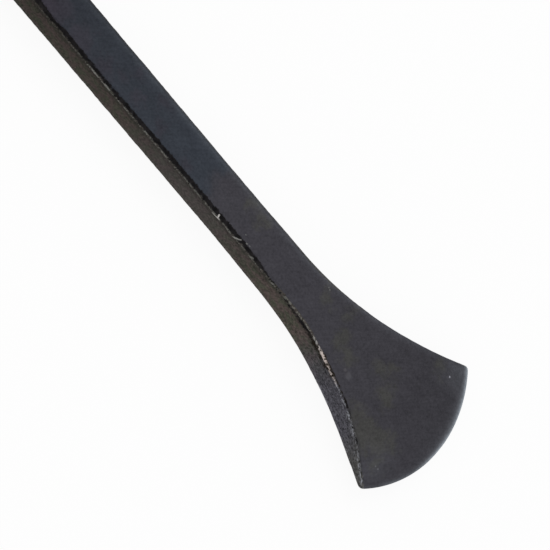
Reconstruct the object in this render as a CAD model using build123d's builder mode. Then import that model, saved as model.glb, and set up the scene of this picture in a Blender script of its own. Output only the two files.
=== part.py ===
from build123d import *

import os
from math import asin, degrees, radians, sqrt, tan

# Forged cold chisel with a broad fan-shaped blade, in millimetres.
#
# The chisel lies on a bench: +X runs along the bar towards the cutting edge, +Z is up, and the origin is
# the middle of its length on the underside. It is one piece of tool steel, so it is one solid: a square
# bar, spread into a fan at one end and bevelled at the other, where the hammer strikes.

# The whole tool
overall_length = 225.0  # struck face to the tip of the edge

# Square bar
bar_size = 12.7  # across the flats, both ways
facet_leg = 1.2  # facets along the bar's four long corners, measured on each flat
facet_runout = 22.0  # how far past the neck the facets fade away

# Fan-shaped blade
blade_width = 50.0  # between the blade's corners, before they are rounded
flare_length = 65.5  # from the neck, where the sides leave the bar, to the blade's corners
side_straight = 6.0  # straight stretch at the end of each side
face_margin = 0.65  # how much wider than the bar the broad faces stay flat, each side
edge_radius = 36.0  # the edge's curve, seen from above
edge_thickness = 2.4  # the edge is left blunt
corner_radius = 1.5  # the blade's two corners, seen from above
rounding_radius = 1.0  # along the blade's sides and round its rim

# Head
head_face_diameter = 9.4  # the flat that the hammer strikes
head_bevel_angle = 20.0  # between the bevel and the bar's axis
head_rim_radius = 0.6  # between the struck face and the bevel

# Worked out from the sizes above
half_bar = bar_size / 2
half_blade = blade_width / 2
half_edge = edge_thickness / 2
half_flat = half_bar + face_margin
head_x = -overall_length / 2
edge_centre_x = overall_length / 2 - edge_radius
corner_x = edge_centre_x + sqrt(edge_radius**2 - half_blade**2)
neck_x = corner_x - flare_length

# Each side is the bar's flat and the blade's straight, joined by one large arc. The tangents at the two
# ends of the arc meet tangent_length from either end.
flare_rise = half_blade - half_bar
tangent_length = (flare_length**2 + flare_rise**2 - side_straight**2) / (2 * (flare_length + side_straight))
flare_angle = degrees(asin(flare_rise / (tangent_length + side_straight)))
flare_radius = tangent_length / tan(radians(flare_angle / 2))

with BuildPart() as forged_chisel:
    # Broad faces: flat a little wider than the bar, then falling away in one arc to the blunt edge. This is
    # half of the section across the blade, at the centre of the edge's curve.
    crown_plane = Plane.YZ.offset(edge_centre_x)
    with BuildSketch(crown_plane) as half_crown:
        with BuildLine():
            upper_flat = Line((0, bar_size), (half_flat, bar_size))
            upper_arc = TangentArc(upper_flat @ 1, (edge_radius, half_bar + half_edge), tangent=(1, 0))
            rim = Line(upper_arc @ 1, (edge_radius, half_bar - half_edge))
            lower_arc = TangentArc((half_flat, 0), rim @ 1, tangent=(1, 0))
            Polyline((half_flat, 0), (0, 0), (0, bar_size))
        make_face()
    # Ahead of that centre the faces fall away all round the edge, and behind it only to both sides.
    revolve(axis=Axis((edge_centre_x, 0, 0), (0, 0, 1)), revolution_arc=-180)
    with BuildSketch(crown_plane):
        add(half_crown.sketch_local)
        mirror(about=Plane.YZ)
    extrude(amount=head_x - edge_centre_x - half_bar)

    # Outline seen from above. It passes the edge at both ends, where the crowned faces already end.
    with BuildSketch():
        with BuildLine():
            bar_side = Line((head_x, half_bar), (neck_x, half_bar))
            flare = JernArc(bar_side @ 1, bar_side % 1, flare_radius, flare_angle)
            blade_side = PolarLine(flare @ 1, side_straight + edge_radius, direction=flare % 1)
            beyond_edge = (blade_side @ 1).X
            Polyline(blade_side @ 1, (beyond_edge, 0), (head_x, 0), (head_x, half_bar))
        make_face()
        mirror(about=Plane.XZ)
    extrude(amount=bar_size, mode=Mode.INTERSECT)

    # The blade's two corners, then one rounding along each side and round the rim, above and below
    blade_corners = forged_chisel.edges().filter_by(Axis.Z).group_by(Axis.X)[-1]
    fillet(blade_corners, corner_radius)
    bar_arrises = forged_chisel.edges().filter_by(Axis.X).group_by(Axis.X)[0]
    fillet(bar_arrises, rounding_radius)

    # Facets along the bar's four long corners. Past the neck, where the sides widen, each cut rises out of
    # its corner, so that the facet fades away.
    facet_depth = facet_leg / sqrt(2)
    widening = flare_radius - sqrt(flare_radius**2 - facet_runout**2)
    facet_planes = [
        Plane((0, y * half_bar, half_bar + z * half_bar), x_dir=(1, 0, 0), z_dir=(0, z, -y))
        for y in (1, -1)
        for z in (1, -1)
    ]
    with BuildSketch(*facet_planes):
        with BuildLine():
            Polyline(
                (head_x - half_bar, facet_depth),
                (neck_x, facet_depth),
                (neck_x + facet_runout, -widening / sqrt(2)),
                (neck_x + facet_runout, -half_bar),
                (head_x - half_bar, -half_bar),
                close=True,
            )
        make_face()
    extrude(amount=half_bar, both=True, mode=Mode.SUBTRACT)

    # Bevel that keeps the head from spreading over the bar when it is struck, turned about the bar's axis
    bevel_length = (bar_size - head_face_diameter / 2) / tan(radians(head_bevel_angle))
    with BuildSketch(Plane.XZ):
        with BuildLine():
            Polyline(
                (head_x, half_bar + head_face_diameter / 2),
                (head_x + bevel_length, half_bar + bar_size),
                (head_x, half_bar + bar_size),
                close=True,
            )
        make_face()
    revolve(axis=Axis((0, 0, half_bar), (1, 0, 0)), mode=Mode.SUBTRACT)
    struck_face_edge = forged_chisel.faces().sort_by(Axis.X)[0].edges()
    fillet(struck_face_edge, head_rim_radius)

forged_chisel.part.label = "forged_chisel"
os.makedirs("parts", exist_ok=True)
export_step(forged_chisel.part, "parts/forged_chisel.step")
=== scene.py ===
# %% [markdown]
# # A forged cold chisel with a fan-shaped blade
# A cold chisel cuts cold metal, and this one is a single forging: a square bar of tool steel whose one end
# was drawn out hot into a thin, wide fan, and whose other end takes the hammer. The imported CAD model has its
# true size and place. This lesson makes the skin that the eye sees: the same form, with the uneven facets,
# the bright broken lip and the patchy blackening that a smith's work leaves.

# %% Load the frame
from math import cos, degrees, pi, radians, sin, sqrt, tan

import bpy
import numpy as np
from mathutils import Matrix, Vector, noise


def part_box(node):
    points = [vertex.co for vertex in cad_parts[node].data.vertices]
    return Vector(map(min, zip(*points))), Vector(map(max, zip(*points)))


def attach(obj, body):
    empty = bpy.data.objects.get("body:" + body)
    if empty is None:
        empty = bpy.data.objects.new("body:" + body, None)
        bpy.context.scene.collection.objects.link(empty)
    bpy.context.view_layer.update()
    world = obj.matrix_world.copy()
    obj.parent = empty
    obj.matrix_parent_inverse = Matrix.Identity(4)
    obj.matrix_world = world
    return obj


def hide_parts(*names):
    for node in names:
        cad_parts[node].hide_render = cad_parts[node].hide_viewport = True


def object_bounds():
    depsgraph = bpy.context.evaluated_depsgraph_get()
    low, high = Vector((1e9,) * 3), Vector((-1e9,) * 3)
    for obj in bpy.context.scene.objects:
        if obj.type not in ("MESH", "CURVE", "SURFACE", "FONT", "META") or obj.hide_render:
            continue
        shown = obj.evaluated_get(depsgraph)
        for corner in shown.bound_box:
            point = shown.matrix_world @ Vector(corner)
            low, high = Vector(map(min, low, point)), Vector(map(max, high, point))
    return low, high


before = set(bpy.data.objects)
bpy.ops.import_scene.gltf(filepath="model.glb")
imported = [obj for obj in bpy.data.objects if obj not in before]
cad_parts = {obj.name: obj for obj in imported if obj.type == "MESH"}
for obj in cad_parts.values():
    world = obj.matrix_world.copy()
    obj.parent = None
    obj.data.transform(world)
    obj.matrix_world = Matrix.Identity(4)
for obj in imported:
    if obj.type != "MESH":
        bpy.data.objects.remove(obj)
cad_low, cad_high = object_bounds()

print("CAD box in mm:", [round(1000 * size, 2) for size in cad_high - cad_low])

# %% [markdown]
# ## Measures
# Everything below is worked out in millimetres and turned to metres once, when the mesh is built. The overall
# sizes come from the frame. The rest are the few that give a fan chisel its form: how long the fan is, how
# round its edge is, and where its faces begin to fall away.

# %% Sizes of the forging
MM = 0.001
bar_low, bar_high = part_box("forged_chisel")
bar_size = (bar_high.z - bar_low.z) / MM
half_bar = bar_size / 2
head_x = bar_low.x / MM
tip_x = bar_high.x / MM

blade_width = 50.0  # between the blade's corners, before they are rounded
flare_length = 65.5  # from the neck to the blade's corners
side_straight = 6.0  # straight stretch at the end of each side
half_flat = 7.0  # half the width over which the broad faces stay flat
edge_radius = 36.0  # the edge's curve, seen from above
half_edge = 1.2  # half the thickness of the blunt edge
rim_radius = 1.5  # rounding of the edge and of the blade's corners, seen from above
rim_drop = 0.8  # how much of the edge's half thickness that rounding takes
facet_leg = 1.2  # facets along the bar's long corners, measured on each flat

edge_centre_x = tip_x - edge_radius
corner_x = edge_centre_x + sqrt(edge_radius**2 - (blade_width / 2) ** 2)
neck_x = corner_x - flare_length
print(f"bar {bar_size:.1f} mm square, neck at {neck_x:.1f}, corners at {corner_x:.1f}, tip at {tip_x:.1f} mm")

# %% [markdown]
# ## The outline of the fan
# Seen from above, each side of the bar swings outwards in one large arc and runs straight to the corner. The
# arc's radius follows from three lengths, because the two tangents of an arc are equally long.

# %% The sides, seen from above
flare_rise = blade_width / 2 - half_bar
tangent_length = (flare_length**2 + flare_rise**2 - side_straight**2) / (2 * (flare_length + side_straight))
flare_angle = np.arcsin(flare_rise / (tangent_length + side_straight))
flare_radius = tangent_length / tan(flare_angle / 2)
arc_end_x = neck_x + flare_radius * sin(flare_angle)


def side_angle(x):
    """How far the side has swung outwards at x, in radians."""
    swung = np.clip((x - neck_x) / flare_radius, 0, sin(flare_angle))
    return np.arcsin(swung)


def side_place(x):
    """Half the tool's width at x, in mm."""
    on_arc = half_bar + flare_radius * (1 - np.cos(side_angle(x)))
    return on_arc + np.maximum(x - arc_end_x, 0) * tan(flare_angle)


print(f"flare: radius {flare_radius:.0f} mm through {degrees(flare_angle):.1f} degrees")

# %% [markdown]
# ## The crown of the faces
# The two broad faces stay flat a little wider than the bar. From there they fall away in one arc, to both
# sides behind the edge's centre and all round it ahead, so that the fan is thickest along its middle and
# thins evenly towards the whole edge.

# %% Height of the broad faces
crown_run = edge_radius - half_flat
crown_fall = half_bar - half_edge
crown_radius = (crown_run**2 + crown_fall**2) / (2 * crown_fall)


def crown(x, y):
    """Half the tool's thickness at a place seen from above, in mm."""
    from_middle = np.where(x < edge_centre_x, np.abs(y), np.hypot(x - edge_centre_x, y))
    past_flat = np.maximum(from_middle - half_flat, 0)
    return half_bar - crown_radius + np.sqrt(crown_radius**2 - past_flat**2)


print(f"crown: radius {crown_radius:.1f} mm, {2 * crown(tip_x, 0.0):.1f} mm thick at the edge")

# %% [markdown]
# ## Uneven by hand
# A hammer never leaves a straight line. One helper draws most of its irregularities: smooth noise, read at
# the points of the surface, at a stated size in mm. Its seed only shifts where it is read, so each run gives
# the same tool.


# %% Noise of a stated size
def wander(points, size, seed):
    """Smooth noise between about -1 and 1 at each point, whose swells are about size mm long."""
    places = points / np.asarray(size, float) + 37.7 * seed
    return np.array([noise.noise(place) for place in places.tolist()])


print("wander at three places:", wander(np.eye(3) * 5, 9.0, 1).round(3))

# %% [markdown]
# ## Soft steps and bumps
# What a hand does to steel begins and ends softly. So two more helpers make a step, and a bump that fades
# away on both sides. They take whole lists of points at once, which is much faster than a loop.


# %% Steps and bumps
def ease(value, start, end):
    """0 before start, 1 past end, and a smooth step between."""
    part = np.clip((value - start) / (end - start), 0, 1)
    return part * part * (3 - 2 * part)


def bump(distance, width):
    """1 at no distance, fading to nothing about two widths away."""
    return np.exp(-((distance / width) ** 2))


print(f"a quarter into a step: {ease(0.25, 0, 1):.2f}, one width off a bump: {bump(1, 1):.2f}")

# %% [markdown]
# ## Where the hand strayed
# Noise alone would stray the same way everywhere. By this smith's hand the near side is fuller at the neck
# and flatter before the corner, and the far side hardly strays. Each is a soft bump, some tenths of a
# millimetre high, at a place along the tool.


# %% The sides as they were forged
def strayed(x, hand):
    """How far a side lies outside the drawn outline at x, in mm. The near side has hand -1, the far one 1."""
    near = 0.40 * bump(x - 43, 15) - 0.66 * bump(x - 89, 17)
    far = 0.18 * bump(x - 35, 11) - 0.08 * bump(x - 73, 12) + 0.10 * ease(-x, 0, 30)
    return 0.12 + np.where(hand < 0, near, far)


print(f"near side {strayed(43, -1):+.2f} mm at the neck and {strayed(89, -1):+.2f} mm before the corner")

# %% [markdown]
# ## The facets
# The smith knocked down the bar's four long corners to facets, which get narrower on the broad face and
# steeper on the side as the blade opens. The hammer also pushed up a thin lip. It follows the facet's lower
# side along the bar, crosses towards the upper side past the neck and comes back on the blade. Each pair of
# lists says where along the tool, and how much there, and between them it goes evenly.


# %% Width of the facets and course of the lip
def facet_out(x):
    """What a facet takes off the broad face at x, in mm."""
    return np.interp(x, [38, 48, 62, 78, 94], [facet_leg, 0.95, 0.75, 0.65, 0.4])


def facet_down(x):
    """What a facet takes off the side wall at x, in mm."""
    return np.interp(x, [30, 38, 90, 98], [facet_leg, 1.1, 1.55, 1.3])


def lip_course(x):
    """Where the lip lies across the facet: 0 at the broad face, 1 at the side wall."""
    return np.interp(x, [38, 44, 50, 57, 62, 66, 74], [1, 0.6, 0.32, 0.2, 0.4, 0.65, 0.9])


print("facet legs on bar and corner:", facet_out([0, corner_x]).round(1), facet_down([0, corner_x]).round(1))

# %% [markdown]
# ## Painted shade and shine along the lip
# A band of painted shade lies on the facet on the lip's upper side, and past the neck on its lower side too.
# The lip itself is rubbed bright, most where the neck opens to the blade, because there it stands out
# furthest.


# %% Width of the painted shade, and how bright the lip is
def shade_above_lip(x):
    """Width of the painted shade between the lip and the broad face, in mm."""
    places = [-75, -61, -57, -53, -35, -15, 24, 32, 37, 43, 50, 60, 65, 78, 84, 100]
    width = [1.9, 1.8, 1.2, 1.9, 1.4, 1.8, 1.8, 1.5, 0.9, 0.3, -0.4, -0.2, 1.0, 1.1, 0.7, 0.6]
    return np.interp(x, places, width)


def shade_below_lip(x):
    """Width of the painted shade between the lip and the side wall, in mm."""
    return np.interp(x, [36, 44, 52, 61, 68, 74], [-0.2, 0.5, 1.5, 2.0, 1.7, -0.2])


def lip_shine(x):
    """How much of the lip is rubbed bright, from 0 to 1."""
    bar_shine = [(-75, 0.1), (-50, 0.15), (-42, 0.35), (-36, 0.45), (-30, 0.35), (-8, 0.3), (5, 0.22)]
    neck_shine = [(20, 0.25), (40, 0.18), (55, 0.35), (61, 0.6), (64, 1.0), (71, 0.9), (75, 0.5)]
    blade_shine = [(80, 0.4), (84, 0.6), (88, 0.5), (92, 0.25), (95, 0.45), (102, 0.6)]
    return np.interp(x, *zip(*bar_shine, *neck_shine, *blade_shine))


print(f"scale {shade_above_lip(0):.1f} mm wide on the bar, lip brightest at {max(range(102), key=lip_shine)} mm")

# %% [markdown]
# ## One block, bent into shape
# A mesh of quads that follows the form shades cleanly and takes fine relief. So the whole tool is one block
# of points, like a long box ruled into squares, of which only the skin is kept. Rows run along it, and each
# row has places across and places up. Those next to the block's edges make the facets and roundings.


# %% Rule the block
def ruled(inner_steps, outer_steps):
    """Places from -1 to 1, and how far into the edge on either side each one lies."""
    out = np.arange(1, outer_steps + 1) / outer_steps
    place = np.concatenate([-np.ones(outer_steps), np.linspace(-1, 1, inner_steps + 1), np.ones(outer_steps)])
    into_edge = np.concatenate([-out[::-1], np.zeros(inner_steps + 1), out])
    return place, into_edge


facet_steps = 4  # half a facet, on either side of the block's edge
across_place, across_edge = ruled(40, facet_steps)
up_place, up_edge = ruled(22, facet_steps)

# Rows from the struck face to the edge: name of the stretch, and how many rows it takes
rows = {"rounding": 4, "bevel": 16, "lead": 9, "bar": 276, "blade": 168, "rim": 5}
ends = dict(zip(rows, np.cumsum(list(rows.values()))))
row_count = ends["rim"]
print(f"{row_count} rows of {2 * (len(across_place) + len(up_place) - 2)} quads")

# %% Keep the skin of the block
block_shape = (row_count + 1, len(across_place), len(up_place))
row, j, k = np.indices(block_shape)  # j counts across, k upwards
on_skin = (row == 0) | (row == row_count) | (j == 0) | (j == block_shape[1] - 1)
on_skin |= (k == 0) | (k == block_shape[2] - 1)
number = np.full(block_shape, -1)
number[on_skin] = np.arange(on_skin.sum())
row, j, k = row[on_skin], j[on_skin], k[on_skin]


def quads(sheet, turned):
    """Faces of one side of the block, numbered by its points, wound to look outwards."""
    corners = [sheet[:-1, :-1], sheet[1:, :-1], sheet[1:, 1:], sheet[:-1, 1:]]
    faces = np.stack(corners, axis=-1).reshape(-1, 4)
    return faces[:, ::-1] if turned else faces


faces = np.vstack([
    quads(number[:, :, -1], False),
    quads(number[:, :, 0], True),
    quads(number[:, -1, :], True),
    quads(number[:, 0, :], False),
    quads(number[-1, :, :], False),
    quads(number[0, :, :], True),
])
print(f"{len(row)} points, {len(faces)} quads")

# %% [markdown]
# ## Where each row lies
# Along the bar a row is simply a distance. On the fan the rows have to turn from straight across, at the
# neck, to the round of the edge. The last row lies on the edge's circle, so the rows between follow the sides
# and lean more and more towards it.

# %% Places along the tool
swing = (np.cos(flare_angle), np.sin(flare_angle))
out_of_side = np.array([-sin(flare_angle), cos(flare_angle)])
side_from_centre = out_of_side @ np.array([corner_x - edge_centre_x, blade_width / 2]) - rim_radius
inner_edge_radius = edge_radius - rim_radius
inner_corner_run = sqrt(inner_edge_radius**2 - side_from_centre**2)
inner_corner_x = edge_centre_x + side_from_centre * out_of_side[0] + inner_corner_run * swing[0]
inner_corner_y = side_from_centre * out_of_side[1] + inner_corner_run * swing[1]
fan_angle = np.arctan2(inner_corner_y, inner_corner_x - edge_centre_x)
last_side_x = inner_corner_x + rim_radius * out_of_side[0]

lead_end = head_x + 14.0
bar_part = np.clip((row - ends["lead"]) / rows["bar"], 0, 1)
blade_part = np.clip((row - ends["bar"]) / rows["blade"], 0, 1)
row_x = lead_end + bar_part * (neck_x - lead_end) + blade_part * (last_side_x - neck_x)
rim_part = np.clip((row - ends["blade"]) / rows["rim"], 0, 1)
print(f"the fan opens through {degrees(2 * fan_angle):.0f} degrees")

# %% [markdown]
# ## Legs of the facets, corner by corner
# Each long corner of the tool gets its own facet, with its own wander. A point between two corners takes
# what lies between their widths. Near the blade's corners the facets give way to the round of the rim.

# %% Facets at the four long corners
across, up = across_place[j], up_place[k]
side_part, face_part = np.abs(across_edge[j]), np.abs(up_edge[k])
row_points = np.column_stack([row_x, np.zeros_like(row_x), np.zeros_like(row_x)])
to_rim = ease(row_x, corner_x - 7, last_side_x)


def unevenness(seed):
    """What the hammer makes of a facet's width along one corner, as a share of it."""
    return 1 + 0.07 * wander(row_points, 9.0, seed) + 0.05 * wander(row_points, 3.1, seed + 5)


corner_seeds = {(-1, 1): 1, (1, 1): 2, (-1, -1): 3, (1, -1): 4}
share = {(y, z): (1 + y * across) * (1 + z * up) / 4 for y, z in corner_seeds}
uneven = sum(share[corner] * unevenness(seed) for corner, seed in corner_seeds.items())
leg_out = facet_out(row_x) * uneven
leg_down = facet_down(row_x) * uneven
facet_run = np.hypot(leg_out, leg_down)
leg_out += (rim_radius - leg_out) * to_rim
leg_down += (rim_drop - leg_down) * to_rim
print(f"facets {facet_run.min():.1f} to {facet_run.max():.1f} mm wide")

# %% [markdown]
# ## From block to forging
# Every point starts on an inner form, set in from the surface by the width of its facet, and is pushed out.
# Pushed out to a straight line it makes a flat facet, and to a circle a rounding. One number between 1 and 2
# goes smoothly from one to the other. Where roundings meet, each gives way to the others, as on a cube that
# is blown up to a ball.

# %% Directions out of the inner form
toward_end = rim_part * (1 - (side_part + face_part) / 2 + side_part * face_part / 3)
toward_side = side_part * (1 - (rim_part + face_part) / 2 + rim_part * face_part / 3)
toward_face = face_part * (1 - (rim_part + side_part) / 2 + rim_part * side_part / 3)
roundness = 1 + 0.5 * ease(row_x, neck_x, edge_centre_x) + 0.5 * to_rim
reach = (toward_end**roundness + toward_side**roundness + toward_face**roundness) ** (1 / roundness)
reach = np.where(reach > 0, reach, 1)
in_facet = (side_part > 0) & (face_part > 0)
print(f"{in_facet.sum()} of {len(in_facet)} points lie on the facets")

# %% The form seen from above
hand = np.where(across < 0, -1.0, 1.0)
turned = side_angle(row_x)
inset_x = row_x + leg_out * np.sin(turned)
inset_y = side_place(row_x) + strayed(row_x, hand) - leg_out * np.cos(turned)
fuller_edge = 0.22 * bump(across, 0.5)
edge_x = edge_centre_x + (inner_edge_radius + fuller_edge) * np.cos(fan_angle * across)
edge_y = (inner_edge_radius + fuller_edge) * np.sin(fan_angle * across)
x = inset_x + blade_part * (edge_x - inner_corner_x)
y = across * inset_y + blade_part * (edge_y - across * inner_corner_y)

out_x = toward_end * np.cos(fan_angle * across) - toward_side * np.sin(turned)
out_y = toward_end * np.sin(fan_angle * across) + toward_side * np.cos(turned) * hand
out_length = np.hypot(out_x, out_y)
out_reach = np.hypot(toward_end, toward_side) / reach * leg_out / np.where(out_length > 0, out_length, 1)
x = x + out_x * out_reach
y = y + out_y * out_reach
print(f"blade {np.ptp(y):.1f} mm wide between its corners")

# %% The form's thickness
z = up * (crown(x, y) - leg_down) + np.sign(up) * leg_down * toward_face / reach
print(f"before relief: {np.ptp(x):.1f} x {np.ptp(y):.1f} x {np.ptp(z):.1f} mm")

# %% [markdown]
# ## The head
# A smith bevels the struck end, so that it doesn't mushroom over the bar's sides under the hammer. The bevel
# is a cone about the bar's axis, and meets the flats in curves. To keep them crisp the rows lean, and one
# lies exactly where the cone leaves the bar. The struck face closes the block with a disc.

# %% Bevel, rounding and struck face
bevel = radians(20.0)
face_radius = 4.7  # of the struck face, before its edge is rounded
face_rounding = 0.6
flat_radius = face_radius - face_rounding * tan((pi / 2 - bevel) / 2)

section = np.hypot(y, z)
crease_x = head_x + (section - face_radius) / tan(bevel)
turn = (pi / 2 - bevel) * np.clip(row / ends["rounding"], 0, 1)
round_x = head_x + face_rounding * (1 - np.cos(turn))
round_r = flat_radius + face_rounding * np.sin(turn)
bevel_part = np.clip((row - ends["rounding"]) / rows["bevel"], 0, 1)
bevel_x = round_x + bevel_part * (crease_x - round_x)
bevel_r = round_r + bevel_part * (section - round_r)
lead_part = (row - ends["bevel"]) / rows["lead"]
head_radius = np.where(row <= ends["bevel"], bevel_r, section)
head_place = np.where(row <= ends["bevel"], bevel_x, crease_x + lead_part * (lead_end - crease_x))

# Inside the disc each square of points shrinks to a ring
ring = np.maximum(np.abs(2 * j / (block_shape[1] - 1) - 1), np.abs(2 * k / (block_shape[2] - 1) - 1))
head_radius = np.where(row == 0, head_radius * ring, head_radius)
in_head = row <= ends["lead"]
scaled = np.where(in_head & (section > 0), head_radius / np.where(section > 0, section, 1), 1)
x = np.where(in_head, head_place, x)
x = np.where(row == 0, head_x, x)
y, z = y * scaled, z * scaled
bevel_end_x = crease_x[row == ends["bevel"]].max()
print(f"struck face {2 * flat_radius:.1f} mm across, bevel up to {bevel_end_x - head_x:.1f} mm long")

# %% [markdown]
# ## Measuring across the surface
# The finish follows the facets: scale lies on them, bright metal along their lips. So each point is told how
# far it lies from the lip, measured across the surface: up towards the side wall, and down over the broad
# face. The same count places the lip's own relief. The bevelled head was ground, not hammered, so all of it
# counts as broad face.

# %% Distance from the lip
part_down = toward_side / np.where(toward_side + toward_face > 0, toward_side + toward_face, 1)
on_face = (side_part == 0) & (face_part == 1)
on_wall = (face_part == 0) & (side_part == 1)
over_face = -(1 - np.abs(across)) * np.maximum(side_place(row_x) - leg_out, 1)
down_wall = facet_run + (1 - np.abs(up)) * (crown(x, y) - leg_down)
around = np.select([on_face, on_wall], [over_face, down_wall], part_down * facet_run)


def by_corner(near_upper, far_upper, near_lower, far_lower):
    """One value for each of the four long corners: near or far side, upper or lower face."""
    corners = [(across < 0) & (up > 0), (across >= 0) & (up > 0), across < 0]
    return np.select(corners, [near_upper, far_upper, near_lower], far_lower)


in_bevel = row <= ends["bevel"]
story_x = row_x + by_corner(0.0, 4.0, -6.0, 2.5)
from_lip = np.where(in_bevel, -3.0, around - lip_course(story_x) * facet_run)
print(f"distance from the lip runs from {from_lip.min():.1f} to {from_lip.max():.1f} mm")

# %% [markdown]
# ## Relief
# Now the surface moves a little along its own normals: slow swells of the hammer, the raised lip with its
# chips, torn grain on the blade's side walls, and dents on the struck face. All but the lip go inwards, and
# nothing leaves the CAD box.

# %% Mesh and its normals
points = np.column_stack([x, y, z + half_bar])
mesh = bpy.data.meshes.new("chisel")
mesh.from_pydata((points * MM).tolist(), [], faces.tolist())
mesh.update()
normals = np.zeros(3 * len(points))
mesh.vertices.foreach_get("normal", normals)
normals = normals.reshape(-1, 3)
print(f"{len(mesh.polygons)} faces, of which {sum(len(p.vertices) == 4 for p in mesh.polygons)} are quads")

# %% Swells of the forging and blows on the facets
swells = -0.06 * (0.5 + 0.5 * wander(points, (30, 13, 13), 11))
ripples = -0.025 * (0.5 + 0.5 * wander(points, (7, 4, 4), 12))
blow_depth = by_corner(0.10, 0.02, 0.04, 0.08)
blows = np.where(in_facet, -blow_depth * ease(wander(points, (2.6, 1.5, 1.5), 13), 0.0, 0.5), 0)
relief = (swells + ripples) * (1 - 0.7 * rim_part) + blows * (1 - to_rim)
print(f"swells up to {-(swells + ripples).min():.2f} mm deep, blows up to {-blows.min():.2f} mm")

# %% The lip and its chips
lip_strength = by_corner(1.0, 0.15, 0.6, 0.5) * lip_shine(story_x)
chips = ease(wander(points, (1.1, 3, 3), 21) + 0.7 * wander(points, (4.5, 5, 5), 22), -0.35, 0.25)
lip_height = 0.13 * chips * (0.3 + 0.7 * lip_strength) * ease(points[:, 0], head_x + 12, head_x + 25)
relief += lip_height * bump(from_lip, 0.24) * (1 - to_rim)
print(f"lip up to {lip_height.max():.2f} mm high")

# %% Torn grain on the blade's side walls
on_blade = ease(row_x, 62.0, 78.0)
wall_part = ease(from_lip, 0.1, 0.5) * (1 - rim_part)
tears = ease(wander(points, (0.9, 0.9, 0.7), 31), 0.0, 0.5) + 0.6 * ease(wander(points, 0.5, 32), 0.1, 0.6)
torn_depth = 0.08 * tears * wall_part * on_blade
relief -= torn_depth
print(f"torn up to {torn_depth.max():.2f} mm deep")

# %% Dents and dome of the struck face
dents = [(-1.2, 0.8, 1.6, 0.16), (1.9, -1.0, 1.3, 0.12), (0.6, 2.4, 1.1, 0.10), (-2.3, -2.0, 1.2, 0.13)]
struck = ease(points[:, 0], head_x + 1.2, head_x)
beaten_down = 0.22 * (np.hypot(y, z) / face_radius) ** 2
for dent_y, dent_z, radius, depth in dents:
    beaten_down += depth * bump(np.hypot(y - dent_y, z - dent_z), radius)
relief -= struck * beaten_down
print(f"struck face beaten down by up to {(struck * beaten_down).max():.2f} mm")

# %% Move the points and keep them in the box
points = points + normals * relief[:, None]
lowest = np.array(cad_low) / MM
highest = np.array(cad_high) / MM
points = np.clip(points, lowest, highest)
mesh.vertices.foreach_set("co", (points * MM).ravel())
mesh.update()
mesh.shade_smooth()
print("after relief:", np.ptp(points, axis=0).round(2), "mm")

# %% [markdown]
# ## What the finish needs to know
# A material can only ask where a point is. The rest is written on the mesh as named values, one for each
# point. The first says where the steel is pale: a painted highlight along the cutting edge, most on the far
# half, painted light at the far corner and on the blade by the near corner, and thin oxide a little along the
# far facet and on the struck face, which the hammer keeps bare.

# %% Painted highlight on the edge, painted light on two corners, and where the oxide is thin
# The pale rim along the cutting edge is a painted highlight, brightest on the far half.
from_edge = edge_radius - np.hypot(points[:, 0] - edge_centre_x, points[:, 1])
around_edge = np.degrees(np.arctan2(points[:, 1], points[:, 0] - edge_centre_x))
past_rim = np.clip(from_edge - 0.3, 0, None)
highlight_reach = np.interp(around_edge, [-16, 0, 12], [0.5, 0.55, 0.75])
rim_highlight = np.exp(-past_rim / highlight_reach) + 0.06 * np.exp(-past_rim / 3.0)
rim_highlight *= points[:, 0] > edge_centre_x
rim_highlight *= np.interp(around_edge, [-36, -28, -16, 0, 12, 24, 36], [0.12, 0.25, 0.25, 0.9, 0.9, 1.1, 1.35])

facet_wear = by_corner(0, 1, 0, 0) * ~in_bevel * bump(around - facet_run / 2, 1.4)
facet_wear *= np.interp(row_x, [-75, -45, -15, 60, 90, 102], [0.03, 0.06, 0.10, 0.10, 0.12, 0.08])

# Painted light on the far corner and on the blade by the near corner: x, y and reach in mm, and how much
painted_light_places = [(corner_x, blade_width / 2, 8.0, 0.14), (100.0, -17.5, 6.0, 0.035)]
corner_painted_light = 0.0
for at, y_place, light_reach, amount in painted_light_places:
    corner_painted_light += amount * bump(np.hypot(points[:, 0] - at, points[:, 1] - y_place), light_reach)

hammered = ease(points[:, 0], head_x + 1.6, head_x + 0.5) * (0.26 + 0.08 * wander(points, 1.2, 41))
# The pale layer holds the painted highlight and the painted light as well as the real wear.
wear_and_painted_light = np.max([rim_highlight, facet_wear, corner_painted_light, hammered], axis=0)
print(f"worn by more than a tenth: {100 * np.mean(wear_and_painted_light > 0.1):.0f} % of the points")

# %% [markdown]
# The second is how deep a point lies in the band of painted shade along the lip, whose lower border is the
# softer one. The third is painted shade and light on a side wall: darker below the upper lip along the bar,
# and paler at its foot, where the floor lights it.

# %% Painted shade along the lip, and painted shade and light on the walls
fade_below = np.interp(story_x, [36, 46], [1.0, 2.6])
below_lip = np.where(up > 0, shade_below_lip(story_x), -0.2)
inside_painted_shade = np.minimum(1.4 * (from_lip + shade_above_lip(story_x)), (below_lip - from_lip) / fade_below)
wall_shade_near_lip = (up > 0) * (1 - ease(from_lip, 0.3, 3.6)) * (1 - ease(row_x, 55, 76))
painted_wall_shading = 1.02 - 0.34 * wall_shade_near_lip + 0.14 * ease(-up, 0.55, 0.95)
print(f"wall light {painted_wall_shading.min():.2f} to {painted_wall_shading.max():.2f}, {(inside_painted_shade > 0).sum()} black points")

# %% [markdown]
# "Unrolled" is the place as a map of the surface has it, in mm: along the tool, across from the lip, and a
# third number that keeps the four corners apart. Noise that is read there follows the facets.

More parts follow.
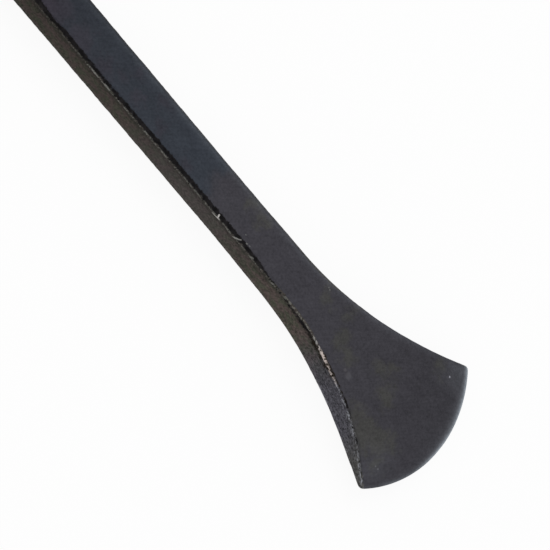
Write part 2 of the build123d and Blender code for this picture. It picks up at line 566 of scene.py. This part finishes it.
# %% Values for the finish
unrolled = np.column_stack([story_x, from_lip, by_corner(0, 30, 60, 90)]).astype(np.float32)
finish_values = {
    "inside_painted_shade": inside_painted_shade,
    "painted_shade_amount": by_corner(1.0, 0.0, 0.8, 0.7),
    "lip_shine": lip_strength * (1 - rim_part) * ~in_bevel,
    "wear_and_painted_light": wear_and_painted_light,
    "painted_wall_shading": painted_wall_shading,
}
for name, values in finish_values.items():
    mesh.attributes.new(name, "FLOAT", "POINT").data.foreach_set("value", values.astype(np.float32))
mesh.attributes.new("unrolled", "FLOAT_VECTOR", "POINT").data.foreach_set("vector", unrolled.ravel())

chisel = bpy.data.objects.new("chisel", mesh)
bpy.context.scene.collection.objects.link(chisel)
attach(chisel, "root")
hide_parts("forged_chisel")
print("values on the mesh: unrolled,", ", ".join(finish_values))

# %% [markdown]
# ## Helpers for the finish
# Colours are written as hex values, as on a paint chart, and one function turns them to the linear values
# that Blender works with. Another adds any node, with its settings and its links. A node given as an input
# stands for its first output that is switched on.


# %% Colour and node helpers
def linear(hex_colour):
    """An sRGB hex colour as the linear RGBA that Blender's sockets take."""
    values = [int(hex_colour[n : n + 2], 16) / 255 for n in (1, 3, 5)]
    return [v / 12.92 if v <= 0.04045 else ((v + 0.055) / 1.055) ** 2.4 for v in values] + [1.0]


def add_node(tree, kind, inputs, **settings):
    """Adds a node. Inputs, by name or number, are values, sockets or nodes. Settings are its properties."""
    node = tree.nodes.new("ShaderNode" + kind)
    for name, value in settings.items():
        setattr(node, name, value)
    for name, value in inputs.items():
        if isinstance(value, bpy.types.Node):
            value = next(socket for socket in value.outputs if socket.enabled)
        if isinstance(value, bpy.types.NodeSocket):
            tree.links.new(value, node.inputs[name])
        else:
            node.inputs[name].default_value = value
    return node


def new_material(name):
    """An empty node material."""
    material = bpy.data.materials.new(name)
    material.use_nodes = True
    material.node_tree.nodes.clear()
    return material


smooth = {"interpolation_type": "SMOOTHSTEP"}  # a MapRange that starts and ends softly
print(f"a mid grey of #808080 is {linear('#808080')[0]:.3f} in linear light")

# %% [markdown]
# ## Blackened tool steel
# The tool was forged and then blackened in hot oil. The steel under that thin dark oxide still gives a
# metal's reflection, but a dark one: blue where the oxide is thin, mauve and olive where it is thicker or
# where oil was baked on. All its patterns are read in millimetres, so a noise of scale 1 / 5 has patches
# about 5 mm across.

# %% Places in millimetres
steel = new_material("blackened_tool_steel")
tree = steel.node_tree
object_place = add_node(tree, "TexCoord", {}).outputs["Object"]
place = add_node(tree, "Mapping", {"Vector": object_place, "Scale": (1 / MM, 1 / MM, 1 / MM)})
drawn_out = add_node(tree, "Mapping", {"Vector": object_place, "Scale": (0.5 / MM, 1 / MM, 1 / MM)})
axes = add_node(tree, "SeparateXYZ", {"Vector": place}).outputs
along, sideways = axes["X"], axes["Y"]
unrolled_place = add_node(tree, "Attribute", {}, attribute_name="unrolled").outputs["Vector"]
off_lip = add_node(tree, "SeparateXYZ", {"Vector": unrolled_place}).outputs["Y"]
written = {}
for name in finish_values:
    written[name] = add_node(tree, "Attribute", {}, attribute_name=name).outputs["Fac"]
print("read from the mesh: unrolled,", ", ".join(written))

# %% [markdown]
# Fire, oil and hands left bands round the tool: grey and pale walls, scale browned by the tempering heat, and
# bare steel flushed by it. Each is full about a place along the tool and fades away on both sides.

# %% Bands round the tool
bands = {  # middle, distances from it where the band ends and where it is full, in mm, and its strength
    "grey": (5.0, 35.0, 5.0, 0.6),
    "pale": (50.0, 18.0, 4.0, 0.12),
    "tempered": (68.0, 14.0, 6.0, 0.8),
    "flushed": (68.0, 8.0, 3.0, 0.8),
}
in_band = {}
for name, (middle, ends_at, full_at, amount) in bands.items():
    past_middle = add_node(tree, "Math", {0: along, 1: middle}, operation="SUBTRACT")
    away = add_node(tree, "Math", {0: past_middle}, operation="ABSOLUTE")
    in_band[name] = add_node(tree, "MapRange", {
        "Value": away, "From Min": ends_at, "From Max": full_at, "To Max": amount,
    }, **smooth)
print("bands:", ", ".join(in_band))

# %% [markdown]
# ## The broad faces
# The middle of the bar kept its blue. Towards both ends, which were in the fire last, it changes to a mauve
# grey. A noise of 5 mm pushes the border between the two to and fro.

# %% Blue bar, mauve-grey blade
heat_border = add_node(tree, "TexNoise", {"Vector": place, "Scale": 1 / 5.0, "Detail": 3.0})
past_blue = add_node(tree, "Math", {0: along, 1: 26.0}, operation="ADD")
away_from_blue = add_node(tree, "Math", {0: past_blue}, operation="ABSOLUTE")
from_blue = add_node(tree, "Math", {0: heat_border, 1: 12.0, 2: away_from_blue}, operation="MULTIPLY_ADD")
is_heated = add_node(tree, "MapRange", {"Value": from_blue, "From Min": 36, "From Max": 42}, **smooth)
to_neck = add_node(tree, "MapRange", {"Value": along, "From Min": -60, "From Max": 8})
to_blade = add_node(tree, "MapRange", {"Value": along, "From Min": 20, "From Max": 60})
blue = add_node(tree, "Mix", {
    "Factor": to_neck, "A": linear("#2F3238"), "B": linear("#353940"),
}, data_type="RGBA")
heated_bar = add_node(tree, "Mix", {
    "Factor": to_neck, "A": linear("#312F36"), "B": linear("#3D3C41"),
}, data_type="RGBA")
heated = add_node(tree, "Mix", {
    "Factor": to_blade, "A": heated_bar, "B": linear("#3C3B40"),
}, data_type="RGBA")
clean_face = add_node(tree, "Mix", {"Factor": is_heated, "A": blue, "B": heated}, data_type="RGBA")
print(f"clean faces: {len(tree.nodes)} nodes")

# %% [markdown]
# Small patches of mauve lie in the blue as well, and on the blade olive stains, where oil was baked on. Each
# has its own place and size, and noise frays it, so that none is round.

# %% Places of the stains
mauve_stains = [
    (-72, -2, 4), (-59, -4, 5), (-48, -4, 3.5), (-39, -4, 2.5), (-33, -1, 1), (-29, 3, 1), (-25, -3, 1.5),
    (-18, 4, 1.5), (-15, -2, 1), (-3, -4, 1),
]
olive_stains = [
    (20, 3, 1.5), (25, 3, 1.5), (54, 3, 1.5), (62, 5, 1.5), (66, -2, 2), (70, -4, 2), (79, 1, 1.5),
    (83, 3, 1.5), (87, -3, 2.5), (81, -12, 1), (84, -13.5, 2), (88, -15, 2.5), (89.5, -14, 3.5),
    (94.5, -13.5, 3), (92, -17.5, 2), (99, -10.5, 1.5), (94, 16, 1.5), (100, -18, 1.5),
]
print(f"{len(mauve_stains)} mauve stains, {len(olive_stains)} olive ones")


# %% Mauve and olive stains
def dab(covered, where, middle, ends_at, full_at, amount, **settings):
    """Adds a round spot to what is covered: full up to full_at from its middle, and gone at ends_at."""
    away = add_node(tree, "VectorMath", {0: where, 1: middle}, operation="DISTANCE")
    spot = add_node(tree, "MapRange", {
        "Value": away, "From Min": ends_at, "From Max": full_at, "To Max": amount,
    }, **settings)
    return add_node(tree, "Math", {0: covered, 1: spot}, operation="MAXIMUM")


half_way = (0.5, 0.5, 0.5)  # the middle value of a noise
fray = add_node(tree, "TexNoise", {"Vector": place, "Scale": 1 / 5.0, "Detail": 6.0, "Roughness": 0.65})
fray_offset = add_node(tree, "VectorMath", {0: fray.outputs["Color"], 1: half_way}, operation="SUBTRACT")
fray_reach = (14.0, 14.0, 0.0)
frayed = add_node(tree, "VectorMath", {0: fray_offset, 1: fray_reach, 2: place}, operation="MULTIPLY_ADD")
stained = {"mauve": 0.0, "olive": 0.0}
for name, amount, stains in (("mauve", 0.55, mauve_stains), ("olive", 0.5, olive_stains)):
    for at, y_place, radius in stains:
        middle = (at, y_place, half_bar + float(crown(at, y_place)))
        stained[name] = dab(stained[name], frayed, middle, radius + 2.5, radius - 1.5, amount, **smooth)
print(f"stains: {len(tree.nodes)} nodes")

# %% [markdown]
# ## The side walls
# The walls kept the skin of the rolled bar, with the oil browned on it. Brown and olive lie side by side in
# patches of 3 mm. About the middle of the tool both are greyed, and next to the lip the oil is thickest.

# %% Oil-browned walls
wall_noise = add_node(tree, "TexNoise", {"Vector": place, "Scale": 1 / 3.2, "Detail": 4.0, "Roughness": 0.6})
brown_part = add_node(tree, "MapRange", {"Value": wall_noise, "From Min": 0.42, "From Max": 0.58}, **smooth)
browned = add_node(tree, "Mix", {
    "Factor": brown_part, "A": linear("#47473E"), "B": linear("#4F4643"),
}, data_type="RGBA")
greyed = add_node(tree, "Mix", {
    "Factor": in_band["grey"], "A": browned, "B": linear("#4B4747"),
}, data_type="RGBA")
oil_part = add_node(tree, "MapRange", {
    "Value": off_lip, "From Min": 2.2, "From Max": 0.2, "To Max": 0.7,
}, **smooth)
oiled = add_node(tree, "Mix", {"Factor": oil_part, "A": greyed, "B": linear("#4A4743")}, data_type="RGBA")
print(f"browned walls: {len(tree.nodes)} nodes")

# %% [markdown]
# The wall is darker towards the head, where hands held it, and paler at the neck. From there it turns blue
# and rough, torn by hammer and file, with a little brown again at the tip.

# %% Light and dark along the walls, and the torn blade
to_middle = add_node(tree, "MapRange", {
    "Value": along, "From Min": -78, "From Max": -10, "To Min": 0.66, "To Max": 1.0,
})
bar_light = add_node(tree, "Math", {0: to_middle, 1: in_band["pale"], 2: to_middle}, operation="MULTIPLY_ADD")
bar_wall = add_node(tree, "VectorMath", {0: oiled, "Scale": bar_light}, operation="SCALE")
to_torn = add_node(tree, "MapRange", {"Value": along, "From Min": 55, "From Max": 76}, **smooth)
to_tip = add_node(tree, "MapRange", {"Value": along, "From Min": 88, "From Max": 96})
torn = add_node(tree, "Mix", {
    "Factor": to_tip, "A": linear("#4B4A50"), "B": linear("#494846"),
}, data_type="RGBA")
whole_wall = add_node(tree, "Mix", {"Factor": to_torn, "A": bar_wall, "B": torn}, data_type="RGBA")
# Here the walls take their painted shade below the lip and their painted light at the foot.
wall_colour = add_node(tree, "VectorMath", {0: whole_wall, "Scale": written["painted_wall_shading"]}, operation="SCALE")
print(f"whole walls: {len(tree.nodes)} nodes")

# %% [markdown]
# ## Ragged borders
# No colour ends in a clean line. One ragged noise, in mm, is added to every distance before it is compared.
# The wall's colour begins just above the lip, and fades out before the head, which was blackened like the
# faces.

# %% Where the wall's colour lies
ragged_noise = add_node(tree, "TexNoise", {
    "Vector": unrolled_place, "Scale": 1 / 1.5, "Detail": 4.0, "Roughness": 0.75,
})
ragged = add_node(tree, "MapRange", {
    "Value": ragged_noise, "From Min": 0.27, "From Max": 0.73, "To Min": -0.7, "To Max": 0.7,
})
ragged_off_lip = add_node(tree, "Math", {0: ragged, 1: -0.5, 2: off_lip}, operation="MULTIPLY_ADD")
past_lip = add_node(tree, "MapRange", {
    "Value": ragged_off_lip, "From Min": -0.65, "From Max": -0.35,
}, **smooth)
from_head = add_node(tree, "Math", {0: heat_border, 1: 12.0, 2: along}, operation="MULTIPLY_ADD")
past_head = add_node(tree, "MapRange", {"Value": from_head, "From Min": -92, "From Max": -78}, **smooth)
is_wall = add_node(tree, "Math", {0: past_lip, 1: past_head}, operation="MULTIPLY")
print(f"borders: {len(tree.nodes)} nodes")

# %% [markdown]
# ## Painted shade on the facets
# The dark band along the lip is painted shade. It is patchy, and brown where the blade begins, from the heat
# of tempering.

# %% Painted shade along the lip
# Painted shade: the dark band along the lip, patchy and brown in places.
ragged_inside = add_node(tree, "Math", {0: written["inside_painted_shade"], 1: ragged}, operation="ADD")
in_painted_shade = add_node(tree, "MapRange", {"Value": ragged_inside, "From Min": -0.15, "From Max": 0.35}, **smooth)
painted_shade_part = add_node(tree, "Math", {0: in_painted_shade, 1: written["painted_shade_amount"]}, operation="MULTIPLY")
patches = add_node(tree, "TexNoise", {"Vector": unrolled_place, "Scale": 1 / 1.6, "Detail": 3.0})
thin_part = add_node(tree, "MapRange", {"Value": patches, "From Min": 0.4, "From Max": 0.7})
black = add_node(tree, "Mix", {
    "Factor": thin_part, "A": linear("#191819"), "B": linear("#272526"),
}, data_type="RGBA")
near_lip = add_node(tree, "MapRange", {"Value": off_lip, "From Min": -3.0, "From Max": -2.0})
temper_part = add_node(tree, "Math", {0: in_band["tempered"], 1: near_lip}, operation="MULTIPLY")
painted_shade_colour = add_node(tree, "Mix", {
    "Factor": temper_part, "A": black, "B": linear("#27221B"),
}, data_type="RGBA")
print(f"black scale: {len(tree.nodes)} nodes")

# %% [markdown]
# ## Layer over layer
# Each layer hides part of those before it. Over the clean faces come the mauve patches, the walls, the olive
# stains and the painted shade along the lip. Last comes the pale blue: a painted highlight along the edge,
# painted light on two corners, and steel that shows through where hands, gloves and hammer thinned the oxide.

# %% Layers of colour
layers = [
    (stained["mauve"], linear("#37343B")),
    (is_wall, wall_colour),
    (stained["olive"], linear("#464640")),
    (painted_shade_part, painted_shade_colour),
    (written["wear_and_painted_light"], linear("#9FA6AE")),
]
layered = clean_face
for cover, colour in layers:
    layered = add_node(tree, "Mix", {"Factor": cover, "A": layered, "B": colour}, data_type="RGBA")
print(f"{len(layers)} layers over the clean faces")

# %% [markdown]
# ## Mottle and brush marks
# Every colour is lighter and darker by a few hundredths: in a mottle some millimetres across, and along the
# marks of a wire brush drawn askew over the steel. Painted light also makes it lighter towards the near side.

# %% Mottle, brush marks and painted light on the near side
mottle = add_node(tree, "TexNoise", {"Vector": drawn_out, "Scale": 1 / 3.0, "Detail": 2.0})
noise_span = {"From Min": 0.3, "From Max": 0.7}  # a noise seldom leaves it
mottle_light = add_node(tree, "MapRange", {"Value": mottle, **noise_span, "To Min": 0.92, "To Max": 1.08})
brush_place = add_node(tree, "Mapping", {
    "Vector": place, "Rotation": (0, 0, radians(48)), "Scale": (7.0, 0.6, 0.6),
}, vector_type="TEXTURE")
brushing = add_node(tree, "TexNoise", {"Vector": brush_place, "Scale": 1.0, "Detail": 2.0})
brush_light = add_node(tree, "MapRange", {"Value": brushing, **noise_span, "To Min": -0.07, "To Max": 0.07})
# Painted light: a little lighter towards the near side, and a little darker towards the far one.
near_side_painted_light = add_node(tree, "MapRange", {
    "Value": sideways, "From Min": 12, "From Max": -20, "To Min": -0.03, "To Max": 0.07,
})
brushed_light = add_node(tree, "Math", {0: mottle_light, 1: brush_light}, operation="ADD")
even_light = add_node(tree, "Math", {0: brushed_light, 1: near_side_painted_light}, operation="ADD")
print(f"mottle: {len(tree.nodes)} nodes")

# %% [markdown]
# The grain is the pitting that the scale left, under a millimetre across, and strongest where the side walls
# are torn.

# %% Grain
grain = add_node(tree, "TexNoise", {"Vector": place, "Scale": 1 / 0.8, "Detail": 3.0, "Roughness": 0.75})
torn_wall = add_node(tree, "Math", {0: to_torn, 1: is_wall}, operation="MULTIPLY")
wall_grain = add_node(tree, "Math", {0: torn_wall, 1: 0.7, 2: is_wall}, operation="MULTIPLY_ADD")
grain_depth = add_node(tree, "MapRange", {"Value": wall_grain, "From Max": 1.7, "To Min": 1.2, "To Max": 4.8})
grain_offset = add_node(tree, "Math", {0: grain, 1: 0.5}, operation="SUBTRACT")
light = add_node(tree, "Math", {0: grain_offset, 1: grain_depth, 2: even_light}, operation="MULTIPLY_ADD")
steel_colour = add_node(tree, "VectorMath", {0: layered, "Scale": light}, operation="SCALE")
print(f"grain: {len(tree.nodes)} nodes")

# %% [markdown]
# ## Bare metal
# Where the lip stands up, benches and gloves rub it, so it shows bright steel in broken beads, on a line that
# is wider where the lip is brighter. A noise of less than a millimetre makes the beads, and one of 3.5 mm the
# longer gaps between them.

# %% Beads along the lip
shine = written["lip_shine"]
bead_noise = add_node(tree, "TexNoise", {
    "Vector": unrolled_place, "Scale": 1 / 0.85, "Detail": 3.0, "Roughness": 0.7,
})
bead_gaps = add_node(tree, "TexNoise", {"Vector": unrolled_place, "Scale": 1 / 3.5, "Detail": 1.0})
bead_height = add_node(tree, "Math", {0: bead_gaps, 1: 0.45, 2: bead_noise}, operation="MULTIPLY_ADD")
for cause, effect in ((shine, 0.1), (to_torn, -0.05)):
    bead_height = add_node(tree, "Math", {0: cause, 1: effect, 2: bead_height}, operation="MULTIPLY_ADD")
beads = add_node(tree, "MapRange", {"Value": bead_height, "From Min": 0.70, "From Max": 0.82}, **smooth)
bar_half_line = add_node(tree, "MapRange", {"Value": shine, "To Min": 0.40, "To Max": 0.60})
half_line = add_node(tree, "Math", {0: to_torn, 1: 0.1, 2: bar_half_line}, operation="MULTIPLY_ADD")
line_place = add_node(tree, "Math", {0: ragged, 1: 0.4, 2: off_lip}, operation="MULTIPLY_ADD")
line_offset = add_node(tree, "Math", {0: line_place, 1: 0.05}, operation="ADD")
from_line = add_node(tree, "Math", {0: line_offset}, operation="ABSOLUTE")
on_line = add_node(tree, "MapRange", {"Value": from_line, "From Min": half_line, "From Max": 0.10}, **smooth)
line_beads = add_node(tree, "Math", {0: on_line, 1: beads}, operation="MULTIPLY")
bright_beads = add_node(tree, "Math", {0: line_beads, 1: shine}, operation="MULTIPLY")
print(f"beads: {len(tree.nodes)} nodes")

# %% [markdown]
# On the torn wall the highest grains are rubbed bright too. The same noise finds them, with a higher
# threshold. They thin out further down the wall, where the lip is dull, off the torn part and towards the
# neck.

# %% Flecks on the torn wall
flecks = add_node(tree, "MapRange", {
    "Value": bead_height, "From Min": 0.74, "From Max": 0.96, "To Max": 0.7,
}, **smooth)
high_on_wall = add_node(tree, "MapRange", {
    "Value": off_lip, "From Min": 4.0, "From Max": 1.0, "To Min": 0.35,
})
past_temper = add_node(tree, "MapRange", {"Value": along, "From Min": 70, "From Max": 80})
for part in (high_on_wall, shine, torn_wall, past_temper):
    flecks = add_node(tree, "Math", {0: flecks, 1: part}, operation="MULTIPLY")
bare = add_node(tree, "Math", {0: bright_beads, 1: flecks}, operation="MAXIMUM")
print(f"flecks: {len(tree.nodes)} nodes")

# %% [markdown]
# Larger chips were made by single blows, so each has its own place. On the lip that is a short stroke between
# two points of the unrolled surface, and on the broad face a spot at x and y, in mm. The last two numbers are
# half its width and how bright it is.

# %% Places of single chips
lip_strokes = [
    ((-38.9, 0.1), (-37.4, 0.1), 0.26, 0.35), ((-34.2, 0.2), (-33.8, 0.1), 0.26, 0.3),
    ((13.0, 0.4), (15.4, 0.0), 0.26, 0.7), ((15.0, 0.1), (14.5, -0.9), 0.22, 0.9),
    ((20.1, 0.2), (20.6, 0.1), 0.26, 0.3), ((21.9, 0.2), (24.0, -1.1), 0.22, 0.5),
    ((25.7, -1.8), (26.0, -1.9), 0.18, 0.3), ((26.8, -2.0), (27.0, -2.1), 0.16, 0.25),
    ((29.8, -0.2), (30.4, -0.4), 0.26, 0.3), ((39.3, 0.0), (39.8, 0.0), 0.28, 0.3),
    ((45.0, 0.1), (45.4, 0.1), 0.26, 0.25), ((85.6, 0.4), (88.5, 0.5), 0.35, 0.3),
    ((94.8, 0.5), (95.0, 0.5), 0.34, 0.45), ((96.2, 0.3), (96.6, 0.4), 0.34, 0.5),
    ((98.4, 0.2), (99.3, 0.2), 0.3, 0.5),
]
face_spots = [
    (52.4, 5.2, 0.22, 0.2), (53.1, 5.0, 0.24, 0.2), (98.9, 17.3, 0.30, 0.6), (23.9, -3.7, 0.20, 0.25),
    (30.5, -6.2, 0.20, 0.2), (39.9, -6.2, 0.20, 0.2), (101.2, -17.9, 0.28, 0.15), (100.0, -18.0, 0.26, 0.12),
    (74.5, -7.6, 1.0, 0.05), (72.6, -7.2, 0.5, 0.05),
]
print(f"{len(lip_strokes)} strokes on the lip, {len(face_spots)} spots on the face")

# %% [markdown]
# A stroke is a row of overlapping spots. Every distance is read through a little noise, so that none is
# round.

# %% Spots of bare metal
spots = []
for at, y_place, radius, bright in face_spots:
    spots.append((place, (at, y_place, half_bar + float(crown(at, y_place))), radius, bright))
for start, end, radius, bright in lip_strokes:
    steps = round(np.hypot(end[0] - start[0], end[1] - start[1]) / radius) + 1
    for at, to_side in np.linspace(start, end, steps).tolist():
        spots.append((unrolled_place, (at, to_side, 0), radius, bright))

spot_noise = add_node(tree, "TexNoise", {"Vector": place, "Scale": 1 / 0.9, "Detail": 1.0}).outputs["Color"]
spot_offset = add_node(tree, "VectorMath", {0: spot_noise, 1: half_way}, operation="SUBTRACT")
shaken = {
    where: add_node(tree, "VectorMath", {0: spot_offset, 1: half_way, 2: where}, operation="MULTIPLY_ADD")
    for where in (place, unrolled_place)
}
for where, middle, radius, bright in spots:
    bare = dab(bare, shaken[where], middle, 1.4 * radius, 0.6 * radius, bright)
print(f"{len(spots)} spots of bare metal")

# %% [markdown]
# ## The colour of bare steel
# Bare steel is dull and a little green where it only glints through, light grey where it is fully bare,
# cooler on the torn blade, and flushed by the tempering heat.

# %% Bare steel
bare_bar = add_node(tree, "Mix", {
    "Factor": bare, "A": linear("#94978F"), "B": linear("#C6C2C0"),
}, data_type="RGBA")
bare_blade = add_node(tree, "Mix", {
    "Factor": to_torn, "A": bare_bar, "B": linear("#B4B6BE"),
}, data_type="RGBA")
bare_colour = add_node(tree, "Mix", {
    "Factor": in_band["flushed"], "A": bare_blade, "B": linear("#CBBDB5"),
}, data_type="RGBA")
base_colour = add_node(tree, "Mix", {"Factor": bare, "A": steel_colour, "B": bare_colour}, data_type="RGBA")
print(f"colour: {len(tree.nodes)} nodes")

# %% [markdown]
# ## The finished steel
# The grain also makes the gloss uneven and the surface faintly rough, and the band of painted shade along the
# lip is duller than the rest.
# A thin oxide swallows some of the light that grazes it, so the tint of the glancing reflection is grey.

# %% The finished steel
oxide_gloss = add_node(tree, "MapRange", {"Value": grain, **noise_span, "To Min": 0.44, "To Max": 0.58})
roughness = add_node(tree, "Math", {0: painted_shade_part, 1: 0.12, 2: oxide_gloss}, operation="MULTIPLY_ADD")
bump_node = add_node(tree, "Bump", {"Strength": 0.5, "Distance": 0.02 * MM, "Height": grain})
surface = add_node(tree, "BsdfPrincipled", {
    "Base Color": base_colour,
    "Metallic": 1.0,
    "Roughness": roughness,
    "Specular Tint": linear("#BBBBBB"),
    "Normal": bump_node,
})
add_node(tree, "OutputMaterial", {"Surface": surface})
mesh.materials.append(steel)
print(f"{steel.name}: {len(tree.nodes)} nodes")

# %% [markdown]
# ## A pale floor
# The tool lies on a pale floor so large that its end is never seen. A light path node tells the rays that
# look, from the camera or in a reflection, from those that only carry light. So floor and air are white to
# the eye, and put no more light on the steel. What isn't white of its own is paint, which takes the tool's
# soft shadow.


# %% Floor
def looking(tree):
    """1 for a ray from the camera or a reflection, 0 for one that only carries light."""
    path = add_node(tree, "LightPath", {}).outputs
    seen = add_node(tree, "Math", {0: path["Is Camera Ray"], 1: path["Is Glossy Ray"]}, operation="MAXIMUM")
    return add_node(tree, "Math", {0: seen, 1: path["Is Transmission Ray"]}, operation="MAXIMUM")


floor_size = 6.0
floor_mesh = bpy.data.meshes.new("floor")
floor_corners = [(x * floor_size / 2, y * floor_size / 2, 0) for x, y in ((-1, -1), (1, -1), (1, 1), (-1, 1))]
floor_mesh.from_pydata(floor_corners, [], [(0, 1, 2, 3)])
floor = bpy.data.objects.new("floor", floor_mesh)
bpy.context.scene.collection.objects.link(floor)

floor_paint = new_material("pale_floor")
paint_tree = floor_paint.node_tree
own_white = add_node(paint_tree, "Math", {0: looking(paint_tree), 1: 0.92}, operation="MULTIPLY")
paint = add_node(paint_tree, "BsdfDiffuse", {"Color": linear("#F6F6F6")})
white = add_node(paint_tree, "Emission", {"Color": linear("#FFFFFF"), "Strength": 1.0})
floor_finish = add_node(paint_tree, "MixShader", {0: own_white, 1: paint, 2: white})
add_node(paint_tree, "OutputMaterial", {"Surface": floor_finish})
floor_mesh.materials.append(floor_paint)
print(f"floor {floor_size:.0f} m across, {floor_paint.name}")

# %% [markdown]
# ## Soft studio light
# Steel shows what is around it, so the room matters more than the lamps. The world is white to the eye and a
# little dimmer as a light. Two large soft lamps give the form its turn from light to shade and the floor its
# soft shadow.

# %% World
scene = bpy.context.scene
world = bpy.data.worlds.new("studio")
scene.world = world
world.use_nodes = True
sky = world.node_tree
sky.nodes.clear()
strength = add_node(sky, "MapRange", {"Value": looking(sky), "To Min": 0.75, "To Max": 1.0})
air = add_node(sky, "Background", {"Color": linear("#FFFFFF"), "Strength": strength})
add_node(sky, "OutputWorld", {"Surface": air})
print(f"{world.name}: strength {strength.inputs['To Min'].default_value:.2f} as a light")


# %% Lamps
def soft_lamp(name, size, power, stand):
    """A square area lamp that looks at the middle of the tool. Sizes in metres, power in watts."""
    light = bpy.data.lights.new(name, "AREA")
    light.size = size
    light.energy = power
    lamp = bpy.data.objects.new(name, light)
    lamp.location = stand
    lamp.rotation_euler = (-Vector(stand)).to_track_quat("-Z", "Y").to_euler()
    scene.collection.objects.link(lamp)
    print(f"{name}: {size} m across, {power} W, {Vector(stand).length:.2f} m away")


soft_lamp("window", 1.2, 6.0, (-0.5, 0.9, 1.5))
soft_lamp("fill", 2.0, 2.0, (0.8, -1.0, 1.2))

# %% [markdown]
# ## Camera
# The camera stands in front of the tool, towards its head, looks steeply down on it and is turned about its
# own axis, so that the tool runs aslant across the picture. A long lens keeps the bar's sides nearly
# parallel.

# %% Camera
camera_azimuth = 38.85  # round from the front towards the head, in degrees
camera_elevation = 61.67
camera_roll = 85.05
camera_distance = 939.5 * MM
aim = Vector((40.27, -2.19, 6.35)) * MM

toward_camera = Vector((
    -sin(radians(camera_azimuth)) * cos(radians(camera_elevation)),
    -cos(radians(camera_azimuth)) * cos(radians(camera_elevation)),
    sin(radians(camera_elevation)),
))
lens = bpy.data.cameras.new("camera")
lens.sensor_width = 36.0
lens.lens = 219.3
lens.clip_end = 20.0
camera = bpy.data.objects.new("camera", lens)
level = toward_camera.to_track_quat("Z", "Y").to_matrix().to_4x4()
turned_level = level @ Matrix.Rotation(radians(camera_roll), 4, "Z")
camera.matrix_world = Matrix.Translation(aim + toward_camera * camera_distance) @ turned_level
scene.collection.objects.link(camera)
scene.camera = camera
scene.view_settings.view_transform = "Standard"
print("camera at", [round(value / MM, 1) for value in camera.matrix_world.translation], "mm")
